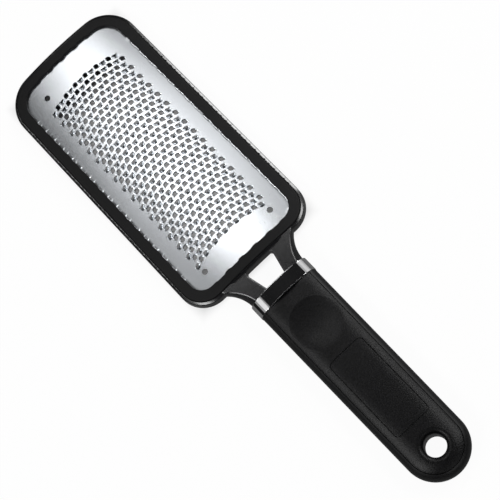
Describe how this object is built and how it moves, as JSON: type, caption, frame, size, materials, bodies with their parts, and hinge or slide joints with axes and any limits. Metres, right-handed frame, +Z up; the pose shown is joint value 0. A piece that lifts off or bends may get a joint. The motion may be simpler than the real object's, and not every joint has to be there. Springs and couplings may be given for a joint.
{
  "type": "foot file",
  "caption": "Hand-held foot file: arched perforated rasp plate in a black frame, forked neck, chrome ferrule and a soft-touch handle with a thumb rest and a hang hole.",
  "frame": {"origin": "on the surface that the file lies on, under the middle of its length and width", "axes": "+X from the head to the handle, +Y across the head, +Z up, with the teeth facing up"},
  "size_m": [0.264, 0.0692, 0.0122],
  "materials": {
    "rasp_steel": "satin stainless sheet",
    "bezel_black": "fine matte",
    "frame_black": "glossy moulded",
    "ferrule_chrome": "polished plating",
    "core_black": "smooth satin",
    "grip_soft": "soft-touch, fine grain"
  },
  "bodies": {
    "root": {"rasp_plate": "rasp_steel", "frame_bezel": "bezel_black", "head_frame": "frame_black", "ferrule": "ferrule_chrome", "handle_core": "core_black", "front_grip": "grip_soft", "rear_grip": "grip_soft"}
  },
  "joints": []
}
